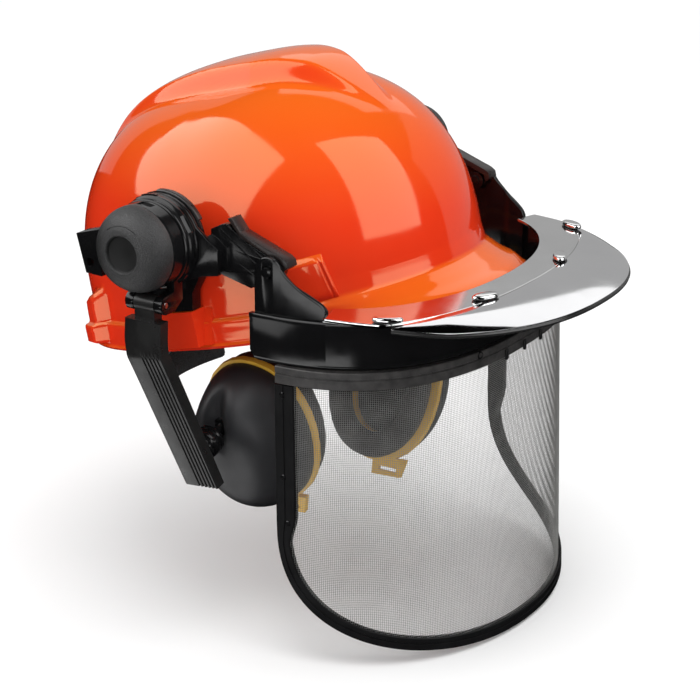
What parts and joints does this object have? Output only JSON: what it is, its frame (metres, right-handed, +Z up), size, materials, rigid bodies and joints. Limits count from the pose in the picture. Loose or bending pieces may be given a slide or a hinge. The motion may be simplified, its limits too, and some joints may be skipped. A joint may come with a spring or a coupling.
{
  "type": "hard hat",
  "caption": "Safety helmet with a pitched shell and brim, a flip-up mesh face visor under a mirror-finish peak, fold-out ear muffs and a ratchet head band.",
  "frame": {"origin": "centre of the head opening, on the plane of the shell's rim", "axes": "+Z up with the visor hanging vertically, -Y to the front, +X to the wearer's left; the shell is pitched 13 degrees front-up about X"},
  "size_m": [0.32, 0.3291, 0.318],
  "materials": {
    "orange_shell": "glossy moulded shell",
    "black_gloss": "glossy moulded",
    "black_satin": "satin moulded",
    "cup_grey": "satin charcoal",
    "amber": "satin moulded",
    "cushion_vinyl": "soft vinyl skin over foam",
    "foam": "open foam",
    "webbing": "woven webbing",
    "chrome_peak": "mirror",
    "silver": "satin silver grey",
    "mesh": "woven wire, black",
    "steel": "plain"
  },
  "bodies": {
    "helmet": {"shell": "orange_shell", "headband": "black_satin", "brow_pad": "foam", "crown_strap_a": "webbing", "crown_strap_b": "webbing", "crown_strap_c": "webbing", "crown_rivet": "black_satin", "strap_key_1": "black_satin", "strap_key_2": "black_satin", "strap_key_3": "black_satin", "strap_key_4": "black_satin", "strap_key_5": "black_satin", "strap_key_6": "black_satin", "ratchet_housing": "black_gloss", "nape_pad": "foam", "ear_adapter_right": "black_gloss", "ear_adapter_left": "black_gloss", "ear_pivot_pin_right": "steel", "ear_pivot_pin_left": "steel", "visor_link_right": "black_gloss", "visor_link_left": "black_gloss", "visor_pivot_right": "steel", "visor_pivot_left": "steel"},
    "nape_left": {"nape_tail_left": "black_satin"},
    "nape_right": {"nape_tail_right": "black_satin"},
    "nape_knob": {"ratchet_knob": "black_satin", "ratchet_pinion": "black_satin"},
    "visor": {"brow_frame": "black_gloss", "peak_collar": "silver", "peak_outer": "chrome_peak", "visor_mesh": "mesh", "visor_rail": "black_satin", "edge_binding": "black_satin", "peak_clip_1": "silver", "peak_clip_2": "silver", "peak_clip_3": "silver", "peak_clip_4": "silver"},
    "ear_head_right": {"swing_ring_right": "black_gloss", "pivot_cap_right": "black_satin", "flip_pin_right": "steel"},
    "ear_arm_right": {"muff_arm_right": "black_satin"},
    "ear_slider_right": {"cup_slider_right": "black_gloss"},
    "ear_cup_right": {"ear_cup_right": "cup_grey", "cup_ring_right": "amber", "ear_cushion_right": "cushion_vinyl", "cup_liner_right": "foam"},
    "lever_right": {"visor_lever_right": "black_gloss"},
    "ear_head_left": {"swing_ring_left": "black_gloss", "pivot_cap_left": "black_satin", "flip_pin_left": "steel"},
    "ear_arm_left": {"muff_arm_left": "black_satin"},
    "ear_slider_left": {"cup_slider_left": "black_gloss"},
    "ear_cup_left": {"ear_cup_left": "cup_grey", "cup_ring_left": "amber", "ear_cushion_left": "cushion_vinyl", "cup_liner_left": "foam"},
    "lever_left": {"visor_lever_left": "black_gloss"}
  },
  "joints": [
    {"name": "visor_tilt", "type": "hinge", "parent": "helmet", "child": "visor", "pos_m": [0, -0.0665, 0.0575], "axis": [-1, 0, 0], "range_deg": [0, 95]},
    {"name": "nape_knob_turn", "type": "hinge", "parent": "helmet", "child": "nape_knob", "pos_m": [0, 0.09189, -0.05098], "axis": [0, 0.9744, -0.225], "range_deg": [-180, 180]},
    {"name": "nape_tail_left_slide", "type": "hinge", "parent": "helmet", "child": "nape_left", "pos_m": [0, 0.01656, -0.00382], "axis": [0, 0.225, 0.9744], "range_deg": [-9.3, 9.3]},
    {"name": "nape_tail_right_slide", "type": "hinge", "parent": "helmet", "child": "nape_right", "pos_m": [0, 0.01656, -0.00382], "axis": [0, 0.225, 0.9744], "range_deg": [-9.3, 9.3]},
    {"name": "arm_swing_right", "type": "hinge", "parent": "helmet", "child": "ear_head_right", "pos_m": [-0.12, 0, 0.0665], "axis": [-1, 0, 0], "range_deg": [-6, 10]},
    {"name": "arm_fold_right", "type": "hinge", "parent": "ear_head_right", "child": "ear_arm_right", "pos_m": [-0.141, 0, 0.036], "axis": [0, 1, 0], "range_deg": [0, 25]},
    {"name": "cup_height_right", "type": "slide", "parent": "ear_arm_right", "child": "ear_slider_right", "axis": [0.2675, -0.2285, -0.9361], "range_m": [0, 0.015]},
    {"name": "cup_tilt_right", "type": "hinge", "parent": "ear_slider_right", "child": "ear_cup_right", "pos_m": [-0.10667, -0.021, -0.04841], "axis": [0, 1, 0], "range_deg": [-6, 6]},
    {"name": "lever_release_right", "type": "hinge", "parent": "helmet", "child": "lever_right", "pos_m": [-0.11, -0.042, 0.074], "axis": [-1, 0, 0], "range_deg": [0, 12]},
    {"name": "arm_swing_left", "type": "hinge", "parent": "helmet", "child": "ear_head_left", "pos_m": [0.12, 0, 0.0665], "axis": [-1, 0, 0], "range_deg": [-6, 10]},
    {"name": "arm_fold_left", "type": "hinge", "parent": "ear_head_left", "child": "ear_arm_left", "pos_m": [0.141, 0, 0.036], "axis": [0, -1, 0], "range_deg": [0, 25]},
    {"name": "cup_height_left", "type": "slide", "parent": "ear_arm_left", "child": "ear_slider_left", "axis": [-0.2675, -0.2285, -0.9361], "range_m": [-0.015, 0]},
    {"name": "cup_tilt_left", "type": "hinge", "parent": "ear_slider_left", "child": "ear_cup_left", "pos_m": [0.10265, -0.02443, -0.06246], "axis": [0, 1, 0], "range_deg": [-6, 6]},
    {"name": "lever_release_left", "type": "hinge", "parent": "helmet", "child": "lever_left", "pos_m": [0.11, -0.042, 0.074], "axis": [-1, 0, 0], "range_deg": [0, 12]}
  ],
  "couplings": [
    {"joint": "nape_tail_left_slide", "follows": "nape_knob_turn", "ratio": 0.05128},
    {"joint": "nape_tail_right_slide", "follows": "nape_knob_turn", "ratio": -0.05128}
  ]
}
